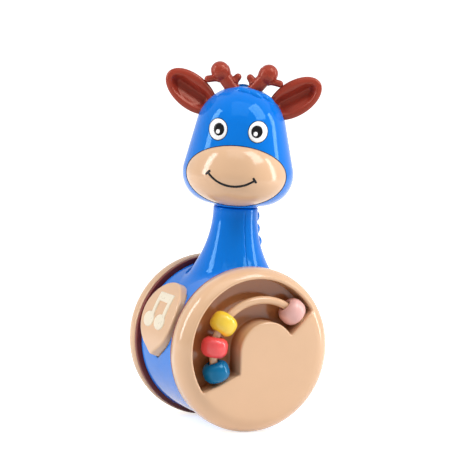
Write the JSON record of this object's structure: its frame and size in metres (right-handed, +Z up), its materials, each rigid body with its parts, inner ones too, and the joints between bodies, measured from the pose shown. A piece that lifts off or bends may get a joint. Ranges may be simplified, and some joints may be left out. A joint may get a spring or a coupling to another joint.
{
  "type": "roly poly toy",
  "caption": "Toy deer on a weighted drum body between large wheels with bead tracks; the head turns, a chest button presses, beads slide and the body rocks upright.",
  "frame": {"origin": "on the floor, straight under the middle of the axle", "axes": "+Z up, +X along the axle towards the wheel whose outer face the picture shows, -Y out of the chest button"},
  "size_m": [0.082, 0.0925, 0.2028],
  "materials": {
    "blue_plastic": "gloss, moulded",
    "beige_plastic": "gloss, moulded",
    "rust_plastic": "satin gloss, moulded",
    "dark_plastic": "gloss, moulded",
    "cream_plastic": "gloss",
    "white_plastic": "gloss",
    "black_plastic": "gloss",
    "bead_yellow": "gloss",
    "bead_red": "gloss",
    "bead_blue": "gloss",
    "bead_pink": "gloss",
    "steel": "bright",
    "iron": "as cast",
    "brass": "bright",
    "board": "matte",
    "black_matte": "matte"
  },
  "bodies": {
    "body": {"body_front_shell": "blue_plastic", "body_rear_shell": "blue_plastic", "counterweight": "iron", "body_screws": "steel", "axle": "steel", "axle_washers": "steel", "axle_nuts": "steel", "sound_board": "board", "board_screws": "steel", "tact_switch": "black_matte", "piezo_sounder": "black_matte", "button_cells": "steel", "cell_contacts": "brass", "battery_door": "blue_plastic", "door_screws": "steel"},
    "button": {"music_button": "beige_plastic", "button_note": "cream_plastic", "switch_plunger": "black_matte"},
    "head": {"head_front_shell": "blue_plastic", "head_rear_shell": "blue_plastic", "head_screws": "steel", "muzzle": "beige_plastic", "smile_inlay": "black_plastic", "left_eye": "white_plastic", "right_eye": "white_plastic", "left_pupil": "black_plastic", "right_pupil": "black_plastic", "left_ear": "rust_plastic", "right_ear": "rust_plastic", "left_antler": "rust_plastic", "right_antler": "rust_plastic"},
    "left_wheel": {"left_wheel_cover": "beige_plastic", "left_wheel_plate": "dark_plastic", "left_bead_rail": "beige_plastic", "left_wheel_screws": "steel"},
    "left_bead_blue_body": {"left_bead_blue": "bead_blue"},
    "left_bead_red_body": {"left_bead_red": "bead_red"},
    "left_bead_yellow_body": {"left_bead_yellow": "bead_yellow"},
    "left_bead_pink_body": {"left_bead_pink": "bead_pink"},
    "right_wheel": {"right_wheel_cover": "beige_plastic", "right_wheel_plate": "dark_plastic", "right_bead_rail": "beige_plastic", "right_wheel_screws": "steel"},
    "right_bead_blue_body": {"right_bead_blue": "bead_blue"},
    "right_bead_red_body": {"right_bead_red": "bead_red"},
    "right_bead_yellow_body": {"right_bead_yellow": "bead_yellow"},
    "right_bead_pink_body": {"right_bead_pink": "bead_pink"}
  },
  "joints": [
    {"name": "head_turn", "type": "hinge", "parent": "body", "child": "head", "pos_m": [0, 0, 0.12227], "axis": [0, 0, 1], "continuous": true},
    {"name": "button_press", "type": "slide", "parent": "body", "child": "button", "axis": [0, 0.9472, -0.3206], "range_m": [0, 0.0015], "stiffness_N_per_m": 500},
    {"name": "left_wheel_spin", "type": "hinge", "parent": "body", "child": "left_wheel", "pos_m": [0, 0, 0.046], "axis": [-1, 0, 0], "continuous": true},
    {"name": "left_bead_blue_slide", "type": "hinge", "parent": "left_wheel", "child": "left_bead_blue_body", "pos_m": [-0.0335, -0.0045, 0.0455], "axis": [-1, 0, 0], "range_deg": [-35, 0]},
    {"name": "left_bead_red_slide", "type": "hinge", "parent": "left_wheel", "child": "left_bead_red_body", "pos_m": [-0.0335, -0.0045, 0.0455], "axis": [-1, 0, 0], "range_deg": [-35, 0]},
    {"name": "left_bead_yellow_slide", "type": "hinge", "parent": "left_wheel", "child": "left_bead_yellow_body", "pos_m": [-0.0335, -0.0045, 0.0455], "axis": [-1, 0, 0], "range_deg": [-35, 0]},
    {"name": "left_bead_pink_slide", "type": "hinge", "parent": "left_wheel", "child": "left_bead_pink_body", "pos_m": [-0.0335, -0.0045, 0.0455], "axis": [-1, 0, 0], "range_deg": [0, 32]},
    {"name": "right_wheel_spin", "type": "hinge", "parent": "body", "child": "right_wheel", "pos_m": [0, 0, 0.046], "axis": [1, 0, 0], "continuous": true},
    {"name": "right_bead_blue_slide", "type": "hinge", "parent": "right_wheel", "child": "right_bead_blue_body", "pos_m": [0.0335, 0.0045, 0.0455], "axis": [1, 0, 0], "range_deg": [-35, 0]},
    {"name": "right_bead_red_slide", "type": "hinge", "parent": "right_wheel", "child": "right_bead_red_body", "pos_m": [0.0335, 0.0045, 0.0455], "axis": [1, 0, 0], "range_deg": [-35, 0]},
    {"name": "right_bead_yellow_slide", "type": "hinge", "parent": "right_wheel", "child": "right_bead_yellow_body", "pos_m": [0.0335, 0.0045, 0.0455], "axis": [1, 0, 0], "range_deg": [-35, 0]},
    {"name": "right_bead_pink_slide", "type": "hinge", "parent": "right_wheel", "child": "right_bead_pink_body", "pos_m": [0.0335, 0.0045, 0.0455], "axis": [1, 0, 0], "range_deg": [0, 32]}
  ],
  "couplings": [
    {"joint": "left_bead_red_slide", "follows": "left_bead_blue_slide", "ratio": 1},
    {"joint": "left_bead_yellow_slide", "follows": "left_bead_blue_slide", "ratio": 1},
    {"joint": "right_bead_red_slide", "follows": "right_bead_blue_slide", "ratio": 1},
    {"joint": "right_bead_yellow_slide", "follows": "right_bead_blue_slide", "ratio": 1}
  ]
}
